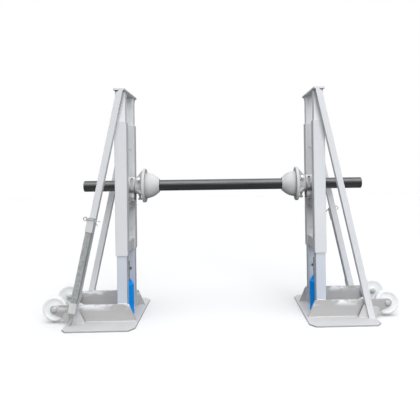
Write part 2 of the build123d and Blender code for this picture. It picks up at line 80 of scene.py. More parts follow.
# ---------------------------------------------------------------- materials
class Nodes:
    """Short words for one node tree."""

    def __init__(self, nt):
        self.nt = nt
        nt.nodes.clear()

    def add(self, kind, **values):
        node = self.nt.nodes.new(kind)
        for key, value in values.items():
            setattr(node, key, value)
        return node

    def link(self, a, b):
        self.nt.links.new(a, b)

    def put(self, socket, value):
        """Link another socket, or set a constant."""
        if isinstance(value, bpy.types.NodeSocket):
            self.link(value, socket)
        else:
            socket.default_value = value

    def math(self, op, a, b=0.0, clamp=False):
        node = self.add("ShaderNodeMath", operation=op, use_clamp=clamp)
        self.put(node.inputs[0], a)
        self.put(node.inputs[1], b)
        return node.outputs[0]

    def axis(self, index, vector):
        split = self.add("ShaderNodeSeparateXYZ")
        self.link(vector, split.inputs[0])
        return split.outputs[index]


class Skin(Nodes):
    """One material around a Principled shader."""

    def __init__(self, name):
        self.mat = bpy.data.materials.new(name)
        self.mat.use_nodes = True
        super().__init__(self.mat.node_tree)
        out = self.add("ShaderNodeOutputMaterial")
        self.bsdf = self.add("ShaderNodeBsdfPrincipled")
        self.link(self.bsdf.outputs[0], out.inputs[0])
        self.coord = self.add("ShaderNodeTexCoord").outputs["Object"]

    def set(self, **values):
        for key, value in values.items():
            self.put(self.bsdf.inputs[key.replace("_", " ")], value)

    def mapped(self, scale):
        node = self.add("ShaderNodeMapping")
        node.inputs["Scale"].default_value = scale
        self.link(self.coord, node.inputs["Vector"])
        return node.outputs[0]

    def noise(self, scale, detail=4.0, rough=0.55, vector=None):
        node = self.add("ShaderNodeTexNoise")
        self.link(vector or self.coord, node.inputs["Vector"])
        node.inputs["Scale"].default_value = scale
        node.inputs["Detail"].default_value = detail
        node.inputs["Roughness"].default_value = rough
        return node.outputs["Fac"]

    def ramp(self, fac, stops):
        node = self.add("ShaderNodeValToRGB")
        elements = node.color_ramp.elements
        while len(elements) < len(stops):
            elements.new(0.5)
        for element, (position, value) in zip(elements, stops):
            element.position = position
            element.color = (*value, 1) if hasattr(value, "__len__") else (value, value, value, 1)
        self.link(fac, node.inputs[0])
        return node.outputs[0]

    def patches(self, fac, low, high):
        """0 where the noise lies under low, 1 where it lies over high."""
        return self.ramp(fac, [(low, 0.0), (high, 1.0)])

    def clouds(self, fac, colour, *stops):
        """Shares of one colour, each at its place on the noise."""
        return self.ramp(fac, [(position, tint(colour, share)) for position, share in stops])

    def mix(self, fac, a, b):
        node = self.add("ShaderNodeMix", data_type="RGBA", blend_type="MIX")
        self.put(node.inputs[0], fac)
        for socket, value in ((node.inputs[6], a), (node.inputs[7], b)):
            if not isinstance(value, bpy.types.NodeSocket):
                value = (*value[:3], 1)
            self.put(socket, value)
        return node.outputs[2]

    def stain(self, shade, fac, share, colour):
        """Lay a colour over the shade, at most at the given share."""
        return self.mix(self.math("MULTIPLY", fac, share), shade, colour)

    def painted_crease_shade(self, shade, reach, share, colour):
        """Painted shade where faces meet at an inner corner, from ambient occlusion."""
        node = self.add("ShaderNodeAmbientOcclusion", samples=6)
        node.inputs["Distance"].default_value = reach
        crease_shade = self.math("SUBTRACT", 1.0, node.outputs["AO"], clamp=True)
        return self.mix(self.math("MULTIPLY", crease_shade, share, clamp=True), shade, colour)

    def fading(self, height, limit):
        """1 at the floor, 0 from one height up."""
        return self.math("SUBTRACT", 1.0, self.math("DIVIDE", height, limit), clamp=True)

    def rounded(self, radius):
        """Normal that is rounded over outer edges."""
        bevel = self.add("ShaderNodeBevel", samples=4)
        bevel.inputs["Radius"].default_value = radius
        return bevel.outputs[0]

    def edge(self, rounded):
        """Bright where the rounded normal leaves the face normal."""
        dot = self.add("ShaderNodeVectorMath", operation="DOT_PRODUCT")
        self.link(rounded, dot.inputs[0])
        self.link(self.add("ShaderNodeNewGeometry").outputs["Normal"], dot.inputs[1])
        return self.math("SUBTRACT", 1.0, dot.outputs["Value"], clamp=True)

    def surface(self, fac, spread, rough, height, strength, distance, normal=None):
        """Roughness that follows one noise, and relief that follows another."""
        self.set(Roughness=self.math("ADD", self.math("MULTIPLY", fac, spread), rough))
        node = self.add("ShaderNodeBump")
        node.inputs["Strength"].default_value = strength
        node.inputs["Distance"].default_value = distance
        self.link(height, node.inputs["Height"])
        if normal is not None:
            self.link(normal, node.inputs["Normal"])
        self.set(Normal=node.outputs[0])
        return self.mat


def tint(colour, share):
    return [min(1, c * share) for c in colour]


def paint(name, colour, rough=0.42, dust=(0.52, 0.50, 0.47), low=0.16, cut=0.0,
          run=(5.0, 5.0, 0.7), streaks=0.10, foot=None, top_highlight=None,
          reach=0.020, crease_shade_share=0.20, crease_shade=(0.30, 0.29, 0.27)):
    """Sprayed paint on steel: faint clouding, dust low down, painted shade in creases, worn edges;
    optionally painted shade towards the floor, painted highlights high up and painted shade on a plate's
    side faces.
    """
    side_face_shade, bare_edge = (0.20, 0.20, 0.21), (0.34, 0.33, 0.32)
    shade_rise = 1.3
    t = Skin(name)
    shade = t.clouds(t.noise(2.6, 5.0), colour, (0.30, 0.955), (0.70, 1.03))
    streak = t.patches(t.noise(7.0, 6.0, 0.65, t.mapped(run)), 0.52, 0.78)
    shade = t.stain(shade, streak, streaks, tint(colour, 0.80))
    z = t.axis(2, t.coord)
    if foot:
        # Painted shade: the coat turns towards the darker foot colour near the floor, for light that
        # falls off downwards
        shade = t.mix(t.fading(z, shade_rise), shade, foot)
    if top_highlight:
        # Painted highlights: bright patches from one height up, for light caught along the upper edge
        start, full, bright = top_highlight
        up = t.math("DIVIDE", t.math("SUBTRACT", z, start), full - start, clamp=True)
        highlight_patches = t.patches(t.noise(8.0, 5.0, 0.6, t.mapped((1.0, 1.0, 2.0))), 0.46, 0.58)
        shade = t.stain(shade, up, highlight_patches, bright)
    # Dust and scuffs gather near the floor
    patch = t.patches(t.noise(16.0, 7.0, 0.7), 0.42, 0.66)
    shade = t.stain(shade, t.math("MULTIPLY", t.fading(z, low), patch), 0.38, dust)
    if cut:
        # Painted shade on the plate's side faces, the cut edges, picked out by their facing
        normal_z = t.axis(2, t.add("ShaderNodeNewGeometry").outputs["Normal"])
        flat = t.math("GREATER_THAN", t.math("ABSOLUTE", normal_z), 0.5)
        shade = t.stain(shade, t.math("SUBTRACT", 1.0, flat), cut, side_face_shade)
    # Painted shade in inner corners, towards the crease colour
    shade = t.painted_crease_shade(shade, reach, crease_shade_share, crease_shade)
    rounded = t.rounded(0.0018)
    chips = t.patches(t.noise(140.0, 5.0, 0.7), 0.56, 0.62)
    worn = t.math("MULTIPLY", t.math("MULTIPLY", t.edge(rounded), 9.0, clamp=True), chips)
    shade = t.stain(shade, worn, 0.55, bare_edge)
    t.set(Base_Color=shade, Metallic=0.0, IOR=1.48)
    return t.surface(t.noise(30.0, 4.0), 0.16, rough - 0.08, t.noise(900.0, 2.0), 0.35, 0.00012, rounded)


def casting(name, colour, under=0.0):
    """Painted casting: sand-rough skin, darker pits, painted shade in inner corners and on the faces
    that look down.
    """
    t = Skin(name)
    shade = t.clouds(t.noise(9.0, 6.0, 0.6), colour, (0.30, 0.86), (0.68, 1.06))
    pits = t.ramp(t.noise(210.0, 5.0, 0.7), [(0.30, 1.0), (0.42, 0.0)])
    shade = t.stain(shade, pits, 0.30, tint(colour, 0.55))
    # Strong painted shade in inner corners
    shade = t.painted_crease_shade(shade, 0.040, 0.70, (0.10, 0.10, 0.10))
    # Painted shade on the faces that look down; it turns with the piece
    if under:
        normal_z = t.axis(2, t.add("ShaderNodeTexCoord").outputs["Normal"])
        underside_shade = t.math("SUBTRACT", 0.35, normal_z, clamp=True)
        shade = t.stain(shade, underside_shade, under, (0.16, 0.155, 0.15))
    t.set(Base_Color=shade, Metallic=0.0, IOR=1.46)
    sand = t.math("ADD", t.noise(260.0, 4.0, 0.7), t.math("MULTIPLY", t.noise(38.0, 3.0), 1.6))
    return t.surface(t.noise(60.0, 3.0), 0.2, 0.38, sand, 0.55, 0.0007, t.rounded(0.0025))


def shaft_steel():
    """Black rolled bar: dark skin, fine lines along and marks around, paler rubbed patches."""
    t = Skin("shaft_skin")
    along = t.noise(60.0, 5.0, 0.6, t.mapped((0.06, 6.0, 6.0)))
    around = t.noise(90.0, 4.0, 0.6, t.mapped((6.0, 0.10, 0.10)))
    shade = t.ramp(along, [(0.30, (0.048, 0.049, 0.051)), (0.72, (0.205, 0.207, 0.212))])
    rubbed = t.patches(t.noise(11.0, 6.0, 0.65), 0.40, 0.70)
    shade = t.stain(shade, rubbed, 0.35, (0.15, 0.15, 0.15))
    scratch = t.patches(around, 0.60, 0.68)
    shade = t.stain(shade, scratch, 0.35, (0.24, 0.24, 0.24))
    t.set(Base_Color=shade, Metallic=0.96, IOR=1.25)
    return t.surface(around, 0.16, 0.14, t.math("ADD", along, scratch), 0.25, 0.0003)


def zinc_dip():
    """Hot-dip zinc: grey crystals of different shade, dull patches."""
    t = Skin("galvanised_skin")
    cells = t.add("ShaderNodeTexVoronoi", feature="F1")
    t.link(t.mapped((1.0, 1.0, 0.55)), cells.inputs["Vector"])
    cells.inputs["Scale"].default_value = 115.0
    grey = t.add("ShaderNodeSeparateColor")
    t.link(cells.outputs["Color"], grey.inputs[0])
    shade = t.ramp(grey.outputs[0], [(0.0, (0.36, 0.375, 0.375)), (1.0, (0.56, 0.575, 0.575))])
    dull = t.patches(t.noise(12.0, 7.0, 0.7), 0.40, 0.68)
    shade = t.stain(shade, dull, 0.45, (0.40, 0.405, 0.395))
    t.set(Base_Color=shade, Metallic=0.30)
    return t.surface(grey.outputs[1], 0.18, 0.38, t.noise(300.0, 4.0), 0.25, 0.0003, t.rounded(0.0020))


def plated(name, colour, rough, metallic=0.9):
    """Zinc-plated or machined metal."""
    t = Skin(name)
    shade = t.clouds(t.noise(120.0, 5.0, 0.6), colour, (0.3, 0.78), (0.7, 1.0))
    # Painted shade in inner corners
    shade = t.painted_crease_shade(shade, 0.006, 0.6, (0.10, 0.095, 0.09))
    t.set(Base_Color=shade, Metallic=metallic)
    return t.surface(t.noise(400.0, 3.0), 0.2, rough - 0.08, t.noise(700.0, 3.0), 0.12, 0.0001)


def nylon():
    """White moulded wheel: soft sheen, scuffed and slightly grey on the tread."""
    tread_from = 0.0765
    t = Skin("wheel_nylon")
    x = t.math("SUBTRACT", t.math("ABSOLUTE", t.axis(0, t.coord)), STAND + AXLE_U)
    z = t.math("SUBTRACT", t.axis(2, t.coord), AXLE_Z)
    radius = t.math("SQRT", t.math("ADD", t.math("MULTIPLY", x, x), t.math("MULTIPLY", z, z)))
    tread = t.math("MULTIPLY", t.math("SUBTRACT", radius, tread_from, clamp=True), 300.0, clamp=True)
    shade = t.ramp(t.noise(22.0, 5.0), [(0.3, (0.89, 0.905, 0.91)), (0.7, (0.94, 0.955, 0.96))])
    scuff = t.patches(t.noise(60.0, 8.0, 0.75), 0.44, 0.60)
    shade = t.stain(shade, t.math("MULTIPLY", tread, scuff), 0.35, (0.52, 0.50, 0.46))
    # Painted shade in inner corners
    shade = t.painted_crease_shade(shade, 0.012, 0.25, (0.45, 0.44, 0.42))
    t.set(Base_Color=shade, Metallic=0.0, IOR=1.5, Subsurface_Weight=0.12,
          Subsurface_Radius=(0.006, 0.006, 0.005))
    return t.surface(scuff, 0.12, 0.36, t.noise(420.0, 3.0), 0.2, 0.0002)


def gloss(name, colour):
    """Glossy enamel over a casting, with soft unevenness."""
    t = Skin(name)
    shade = t.clouds(t.noise(14.0, 4.0), colour, (0.3, 0.90), (0.7, 1.10))
    # Painted shade in inner corners
    shade = t.painted_crease_shade(shade, 0.012, 0.3, tint(colour, 0.35))
    t.set(Base_Color=shade, Metallic=0.0, IOR=1.25)
    return t.surface(t.noise(45.0, 3.0), 0.12, 0.22, t.noise(70.0, 4.0), 0.18, 0.0006, t.rounded(0.0015))


PAINT = paint("light_grey_paint_skin", (0.720, 0.730, 0.750))
# Painted light and shade: lighter paint than the rest, turning darker towards the floor, for light that
# is brighter high up
POST = paint("upright_paint_skin", (0.860, 0.865, 0.880), foot=(0.525, 0.570, 0.655))
WELD = paint("weld_paint_skin", (0.740, 0.745, 0.755), rough=0.34)
PLATE = paint("base_paint_skin", (0.615, 0.615, 0.625), rough=0.46, low=0.05, cut=0.45)
# Painted highlights in patches along the wall tops
WALLS = paint("wall_paint_skin", (0.440, 0.434, 0.432), rough=0.36, low=0.14,
              run=(0.5, 4.0, 9.0), streaks=0.60, top_highlight=(0.076, 0.108, (0.86, 0.87, 0.89)))
GUSSET = paint("gusset_paint_skin", (0.560, 0.560, 0.565), low=0.14)
SOCKET = paint("socket_paint_skin", (0.690, 0.695, 0.700), dust=(0.300, 0.300, 0.310), low=0.45)
# Strong painted shade in the saddle's inner corners, round its ears and the nut
SADDLE = paint("saddle_paint_skin", (0.640, 0.645, 0.655), reach=0.050, crease_shade_share=1.4,
               crease_shade=(0.14, 0.14, 0.14))
CAST = casting("cast_grey_skin", (0.640, 0.642, 0.645))
# Painted shade on the faces that look down, besides the painted shade in corners
BEARING = casting("bearing_cast_skin", (0.730, 0.732, 0.735), under=0.85)
SHAFT = shaft_steel()
ZINC_DIP = zinc_dip()
ZINC = plated("zinc_bolt_skin", (0.86, 0.86, 0.86), 0.34, 0.45)
OXIDE = plated("black_screw_skin", (0.055, 0.056, 0.060), 0.40, 0.5)
WIRE = plated("spring_wire_skin", (0.62, 0.62, 0.63), 0.34, 0.6)
BRIGHT = plated("ram_skin", (0.72, 0.72, 0.73), 0.16)
BRONZE = plated("bronze_skin", (0.60, 0.42, 0.20), 0.30)
NYLON = nylon()
BLUE = gloss("jack_blue_skin", (0.000, 0.310, 1.000))

# Start of a node's name without its side: the first match counts, all others are light grey
LOOKS = {
    "base_plate": PLATE, "upright": POST, "wall": WALLS, "brace_gussets": GUSSET,
    "lever_sockets": SOCKET, "lever": ZINC_DIP,
    "bearing_bush": BRONZE, "bearing": BEARING, "saddle": SADDLE, "jack_beam": PAINT,
    "jack_ram": BRIGHT, "jack_release_valve": ZINC, "jack": BLUE,
    "cone": CAST, "drum_shaft": SHAFT,
}
for name, obj in nodes.items():
    words = name.partition("_")[2] if name.startswith(("left_", "right_")) else name
    look = next((m for key, m in LOOKS.items() if words.startswith(key)), PAINT)
    obj.data.materials.clear()
    obj.data.materials.append(look)


# ---------------------------------------------------------------- mesh tools
# Each piece is drawn for the left stand, from its own middle: x is minus the outward direction.
# Both pumps turn towards the rear, so the right jack isn't the left one after the half turn.
JACK_TURN = math.radians(30)
HOME = {"left": Matrix.Translation((-STAND, 0, 0)),
        "right": Matrix.Translation((STAND, 0, 0)) @ Matrix.Rotation(math.pi, 4, "Z")}
JACK_HOME = {"left": HOME["left"] @ Matrix.Rotation(-JACK_TURN, 4, "Z"),
             "right": HOME["right"] @ Matrix.Rotation(JACK_TURN, 4, "Z")}
SWAP = {"front": "rear", "rear": "front"}
FRONT, REAR = -1, 1
UP = Matrix.Identity(4)


def named(side, words):
    """Name on one side: the half turn changes front and rear of the right stand."""
    parts = words.split("_")
    if side == "right":
        parts = [SWAP.get(part, part) for part in parts]
    return side + "_" + "_".join(parts)


def both(words, bm, material, body, replaces=None, homes=HOME, angle=38, second=None):
    """The same piece on both stands, riding its body; a second material is for faces marked 1."""
    for side in ("left", "right"):
        mesh = bpy.data.meshes.new(named(side, words))
        bm.to_mesh(mesh)
        mesh.transform(homes[side])
        mesh.shade_smooth()
        mesh.set_sharp_from_angle(angle=math.radians(angle))
        mesh.materials.append(material)
        if second:
            mesh.materials.append(second)
        obj = bpy.data.objects.new(named(side, words), mesh)
        scene.collection.objects.link(obj)
        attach(obj, named(side, body))
        if replaces:
            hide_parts(named(side, replaces))
    bm.free()


def skin(bm, rings, closed=False):
    """Faces between rings of vertices, with a face over each end unless the rings close."""
    count = len(rings[0])
    pairs = list(zip(rings, rings[1:])) + ([(rings[-1], rings[0])] if closed else [])
    for a, b in pairs:
        for i in range(count):
            k = (i + 1) % count
            bm.faces.new((a[i], a[k], b[k], b[i]))
    if not closed:
        bm.faces.new(rings[0][::-1])
        bm.faces.new(rings[-1])


def on_ring(place, radius, a, height):
    """Point at an angle round the local Z of place."""
    return place @ Vector((radius * math.cos(a), radius * math.sin(a), height))


def turns(count):
    """Angles of one turn in even steps."""
    return [2 * math.pi * i / count for i in range(count)]


def lathe(bm, place, profile, segments=48, closed=False):
    """Turned body: radius and height along the local Z of place."""
    rings = [[bm.verts.new(on_ring(place, radius, a, height)) for a in turns(segments)]
             for radius, height in profile]
    skin(bm, rings, closed)


def arc(cx, cz, radius, start, end, steps=5):
    """Points of a corner round, as radius and height."""
    angles = [math.radians(start + (end - start) * i / steps) for i in range(steps + 1)]
    return [(cx + radius * math.cos(a), cz + radius * math.sin(a)) for a in angles]


def hex_head(bm, place, flats, height, foot=0.0):
    """Six-sided head or nut with its corners turned off, on local Z."""
    segments, turned, slope = 36, 0.96, 0.62
    sixth = math.pi / 3
    low = turned * flats / 2
    rings = [[], [], [], []]
    for a in turns(segments):
        r = flats / 2 / math.cos((a + sixth / 2) % sixth - sixth / 2)
        drop = (r - low) * slope
        for ring, radius, z in zip(rings, (low, r, r, low), (foot, foot + drop, height - drop, height)):
            ring.append(bm.verts.new(on_ring(place, radius, a, z)))
    skin(bm, rings)


def washer(bm, place, radius, height):
    lathe(bm, place, [(radius, 0), (radius, height * 0.7), (radius - height * 0.3, height)], 32)


def fastener(bm, place, size, height, thick):
    """Washer with a hex head or nut on it; size is the washer's radius and the width over flats."""
    radius, flats = size
    washer(bm, place, radius, thick)
    hex_head(bm, place, flats, height, thick)


def shank(bm, place, radius, low, high, segments):
    lathe(bm, place, [(radius, low), (radius, high)], segments)


def thread(bm, place, radius, depth, pitch, low, high, segments=24):
    """Screw thread: a ridge that climbs one pitch each turn, with a plain last ring."""
    count = int((high - low) / pitch * 5)
    rings = []
    for j in range(count + 1):
        z = low + (high - low) * j / count
        ring = []
        for i, a in enumerate(turns(segments)):
            share = ((z - low) / pitch - i / segments) % 1.0
            cut = 1.0 if j == count else 1 - abs(2 * share - 1)
            ring.append(bm.verts.new(on_ring(place, radius - depth * cut, a, z)))
        rings.append(ring)
    skin(bm, rings)


def sweep(bm, points, radius, segments=10, wave=None):
    """Round wire or bead along points; wave gives its thickness along the length."""
    points = [Vector(p) for p in points]
    rings, across, run = [], None, 0.0
    for i, point in enumerate(points):
        ahead = (points[min(i + 1, len(points) - 1)] - points[max(i - 1, 0)]).normalized()
        if across is None:
            across = ahead.orthogonal().normalized()
        else:
            across = (across - ahead * across.dot(ahead)).normalized()
        up = ahead.cross(across)
        run += (point - points[i - 1]).length if i else 0.0
        r = radius * (wave(run) if wave else 1.0)
        rings.append([bm.verts.new(point + (across * math.cos(a) + up * math.sin(a)) * r)
                      for a in turns(segments)])
    skin(bm, rings)


def curve(points, steps):
    """Smooth line through points (Catmull-Rom)."""
    pts = [Vector(p) for p in points]
    pts = [pts[0] * 2 - pts[1]] + pts + [pts[-1] * 2 - pts[-2]]
    line = []
    for a, b, c, d in zip(pts, pts[1:], pts[2:], pts[3:]):
        for k in range(steps):
            t = k / steps
            square = (2 * a - 5 * b + 4 * c - d) * t * t
            cube = (3 * b - a - 3 * c + d) * t ** 3
            line.append(0.5 * (2 * b + (c - a) * t + square + cube))
    return line + [pts[-2]]


def weld(bm, *ends, size=0.0034):
    """Rippled bead in the corner between two parts, along straight runs."""
    step, ripple_length, taper = 0.0020, 0.0052, 0.004
    for a, b in zip(ends, ends[1:]):
        a, b = Vector(a), Vector(b)
        length = (b - a).length
        count = max(4, int(length / step))
        phase = random.random() * 3

        def ripple(run):
            end = min(1.0, 0.35 + min(run, length - run) / taper)
            swell = 0.06 * math.sin(run * 95 + phase)
            return end * (0.88 + 0.14 * abs(math.sin(math.pi * run / ripple_length)) + swell)

        sweep(bm, [a.lerp(b, i / count) for i in range(count + 1)], size, 6, ripple)


def brace_edge(z):
    """Outer edge of a brace at height z, outwards from the stand's middle."""
    return BRACE_TOP + SLOPE * (CAP_Z - z)


def on_brace(y, along=0.0):
    """Frame on the line of a brace, from its foot, local Z up along it."""
    foot = -(brace_edge(PLATE_T) - BRACE_X / 2)
    turn = Matrix.Rotation(TILT, 4, "Y")
    return Matrix.Translation((foot, y, PLATE_T)) @ turn @ Matrix.Translation((0, 0, along))


def facing(place, axis):
    """Frame at a place with its local Z along an axis."""
    return Matrix.Translation(place) @ Vector(axis).to_track_quat("Z", "Y").to_matrix().to_4x4()


# ---------------------------------------------------------------- welds
THIN_BEAD, SOCKET_BEAD, WALL_BEAD = 0.0028, 0.0030, 0.0042
INSET = 0.002                                       # most beads stop short of a part's end
SHORT = UPRIGHT_HALF - INSET
WALL_DRUM_END, WALL_DRUM_END_IN, WALL_OUTER_END = 0.089, 0.086, -0.340
WALL_BREAK = 0.036                                  # inner bead of a wall, on both sides of the upright
SOCKET_EDGE, SOCKET_INSET = 0.0205, 0.003

stand = bmesh.new()
for s in (FRONT, REAR):
    out, inn, far = s * WALL_FACE, s * WALL_IN, s * BRACE_FACE
    near_u, far_u = brace_edge(PLATE_T) - BRACE_X, brace_edge(PLATE_T)
    z = PLATE_T
    # Wall feet, outside and inside
    weld(stand, (WALL_DRUM_END, out, z), (-near_u + INSET, out, z))
    weld(stand, (WALL_DRUM_END_IN, inn, z), (WALL_BREAK, inn, z))
    weld(stand, (-WALL_BREAK, inn, z), (WALL_OUTER_END, inn, z))
    # Uprights to walls, to the plate and over the wall tops
    for x in (-UPRIGHT_HALF, UPRIGHT_HALF):
        weld(stand, (x, inn, z + INSET), (x, inn, WALL_TOP - INSET))
        weld(stand, (x, s * (UPRIGHT_NEAR + 0.001), z), (x, s * (UPRIGHT_FAR - INSET), z))
    weld(stand, (-UPRIGHT_HALF, s * UPRIGHT_NEAR, z), (UPRIGHT_HALF, s * UPRIGHT_NEAR, z))
    weld(stand, (-SHORT, inn, WALL_TOP), (SHORT, inn, WALL_TOP), size=WALL_BEAD)
    # Uprights and braces to the cap
    for y in (UPRIGHT_NEAR, UPRIGHT_FAR):
        weld(stand, (-SHORT, s * y, CAP_Z), (SHORT, s * y, CAP_Z))
    weld(stand, (UPRIGHT_HALF, s * (UPRIGHT_NEAR + INSET), CAP_Z),
         (UPRIGHT_HALF, s * (UPRIGHT_FAR - INSET), CAP_Z))
    top_u = BRACE_TOP - BRACE_X
    weld(stand, (-top_u, s * (WALL_FACE + INSET), CAP_Z), (-top_u, s * (BRACE_FACE - INSET), CAP_Z))
    # Braces: foot, wall side, and both stiffening plates
    mid = s * (WALL_FACE + BRACE_D / 2)
    weld(stand, (-near_u, far, z), (-far_u, far, z))
    for u, tip_u, rise, shift in ((near_u, near_u - INNER_LENGTH, INNER_HEIGHT, BRACE_X),
                                  (far_u, PLATE_OUT, OUTER_HEIGHT, 0.0)):
        weld(stand, (-u, out, z), (-(brace_edge(WALL_TOP) - shift), out, WALL_TOP - INSET))
        for side in (-GUSSET_HALF, GUSSET_HALF):
            top = (-(brace_edge(z + rise) - shift), mid + side, z + rise)
            weld(stand, (-tip_u, mid + side, z), (-u, mid + side, z), size=THIN_BEAD)
            weld(stand, (-u, mid + side, z), top, size=THIN_BEAD)
for low, length in SOCKETS:
    place = on_brace(-BRACE_FACE, low)
    for x in (-SOCKET_EDGE, SOCKET_EDGE):
        weld(stand, place @ Vector((x, 0, SOCKET_INSET)),
             place @ Vector((x, 0, length - SOCKET_INSET)), size=SOCKET_BEAD)
both("stand_welds", stand, WELD, "stand", angle=80)

carriage = bmesh.new()
for half, low, high in ((SADDLE_HALF, SADDLE_LOW, SADDLE_TOP), (BEAM_HALF, BEAM_LOW, BEAM_TOP)):
    for y in (-SLEEVE_IN, SLEEVE_IN):
        weld(carriage, (-half, y, low), (-half, y, high))
        weld(carriage, (half, y, low), (half, y, high))
        weld(carriage, (-half, y, low), (half, y, low))
        weld(carriage, (-half, y, high), (half, y, high))
for y in (-EAR_FACE, EAR_FACE):
    weld(carriage, (-SADDLE_HALF + 0.001, y, SADDLE_TOP), (SADDLE_HALF - 0.001, y, SADDLE_TOP))
    for x in (-SADDLE_HALF, SADDLE_HALF):
        weld(carriage, (x, y, SADDLE_TOP - 0.013), (x, y, SADDLE_TOP - 0.001), size=THIN_BEAD)
both("carriage_welds", carriage, WELD, "carriage", angle=80)

# ---------------------------------------------------------------- bolts
M8, M16, M20 = (0.0083, 0.013), (0.0150, 0.024), (0.0185, 0.030)    # washer radius, over flats
M8_R, M16_R = 0.004, 0.008
CAP_SCREW_X, CAP_SCREW_Y, CAP_SCREW_Z = 0.048, 0.054, SHAFT_Z + 0.045
FOOT_BOLT_X, FOOT_BOLT_Z = 0.050, SADDLE_TOP + 0.016
SLEEVE_SCREW_X, SLEEVE_SCREW_HEIGHTS = 0.008, (0.576, 1.158)
BEAM_SCREW = (SADDLE_HALF, -0.062, SADDLE_TOP - 0.019)
LOCK_NUT, SCREW_HEAD = 0.0602, 0.0860               # of the cone screws, from the shaft line

bolts = bmesh.new()
for x in (-CAP_SCREW_X, CAP_SCREW_X):
    for y in (-CAP_SCREW_Y, CAP_SCREW_Y):
        cap_screw = Matrix.Translation((x, y, CAP_SCREW_Z))
        fastener(bolts, cap_screw, M8, 0.008, 0.0012)
        thread(bolts, cap_screw, M8_R, 0.0005, 0.00125, -0.066, 0.001, 16)
# Black-oxide cap screws; their washers are dark too, as painted shade round the heads
for face in bolts.faces:
    face.material_index = 1
for x in (-FOOT_BOLT_X, FOOT_BOLT_X):
    nut = facing((x, -EAR_FACE, FOOT_BOLT_Z), (0, -1, 0))
    fastener(bolts, nut, M16, 0.010, 0.0018)
    thread(bolts, nut, M16_R, 0.0008, 0.002, -0.010, 0.013)
    head = facing((x, EAR_FACE, FOOT_BOLT_Z), (0, 1, 0))
    fastener(bolts, head, M16, 0.009, 0.0018)
    shank(bolts, head, 0.0079, -0.088, 0.002, 24)
for z in SLEEVE_SCREW_HEIGHTS:
    for s in (FRONT, REAR):
        head = facing((SLEEVE_SCREW_X, s * SLEEVE_IN, z), (0, -s, 0))
        fastener(bolts, head, M8, 0.006, 0.0010)
        shank(bolts, head, M8_R, -0.0058, 0.002, 16)
head = facing(BEAM_SCREW, (1, 0, 0))
fastener(bolts, head, M8, 0.006, 0.0010)
shank(bolts, head, M8_R, -0.006, 0.002, 16)
both("carriage_hexes", bolts, ZINC, "carriage", "carriage_bolts", second=OXIDE)

axles = bmesh.new()
for s in (FRONT, REAR):
    head = facing((-AXLE_U, s * WALL_FACE, AXLE_Z), (0, s, 0))
    fastener(axles, head, M20, 0.012, 0.0022)
    shank(axles, head, AXLE_R, -0.060, 0.004, 32)
    nut = facing((-AXLE_U, s * NUT_FACE, AXLE_Z), (0, -s, 0))
    fastener(axles, nut, M20, 0.016, 0.0022)
    thread(axles, nut, AXLE_R, 0.0010, 0.0025, -0.002, 0.021, 32)
both("wheel_axles", axles, ZINC, "stand", "wheel_bolts")

screws = bmesh.new()
for angle in (270, 150, 30):
    turn = Matrix.Rotation(math.radians(angle - 90), 4, "X")
    screw = Matrix.Translation((CONE_SCREWS_X, 0, SHAFT_Z)) @ turn
    thread(screws, screw, M16_R, 0.0010, 0.0020, 0.0385, 0.0865)
    hex_head(screws, screw @ Matrix.Translation((0, 0, LOCK_NUT)), M16[1], 0.009)
    hex_head(screws, screw @ Matrix.Translation((0, 0, SCREW_HEAD)), M16[1], 0.014)
both("cone_clamps", screws, ZINC, "drum_cone", "cone_screws")

# ---------------------------------------------------------------- wheels
bore, hub, hub_r, web, half = 0.01005, 0.025, 0.0237, 0.0195, 0.023
side = [(bore, hub)] + arc(hub_r - 0.0022, hub - 0.0022, 0.0022, 90, 0)
side += arc(0.0270, web + 0.0030, 0.0030, 180, 270)
side += [(0.0560, web), (0.0600, web + 0.0010), (0.0635, half - 0.0006), (0.0650, half)]
side += arc(0.0735, half - 0.0065, 0.0065, 90, 0, 8)
rim = [(r, -z) for r, z in side] + side[::-1]
for s, words in ((FRONT, "front"), (REAR, "rear")):
    wheel = bmesh.new()
    lathe(wheel, facing((-AXLE_U, s * WHEEL_MIDDLE, AXLE_Z), (0, 1, 0)), rim, 96, closed=True)
    both(words + "_roller", wheel, NYLON, words + "_wheel", "wheel_" + words, angle=50)

# ---------------------------------------------------------------- spring clip
EYE_X, EYE_R, EYE_POINTS = -0.0385, 0.0122, 25
clip = bmesh.new()
wire = [(0.0595, 0, 0), (0.045, 0, 0), (0.020, 0, 0), (-0.010, 0, 0), (-0.0270, 0, -0.0005)]
for i in range(1, EYE_POINTS + 1):
    a = math.radians(-18 - i * 24.5)
    wire.append((EYE_X + EYE_R * math.cos(a), -0.00022 * i, EYE_R * math.sin(a)))
wire += [(-0.0290, -0.012, -0.0065), (-0.0265, -0.0215, -0.0060), (-0.0205, -0.0262, -0.0035),
         (-0.008, -0.0264, 0.0010), (0.008, -0.0264, 0.0042), (0.022, -0.0264, 0.0012),
         (0.037, -0.0264, -0.0105), (0.0530, -0.0264, -0.0265)]
sweep(clip, curve(wire, 5), 0.0027, 12)
clip.transform(on_brace(-(BRACE_FACE + LEVER_OUT), CLIP_ALONG))
both("clip_wire", clip, WIRE, "clip", "lever_clip", angle=80)

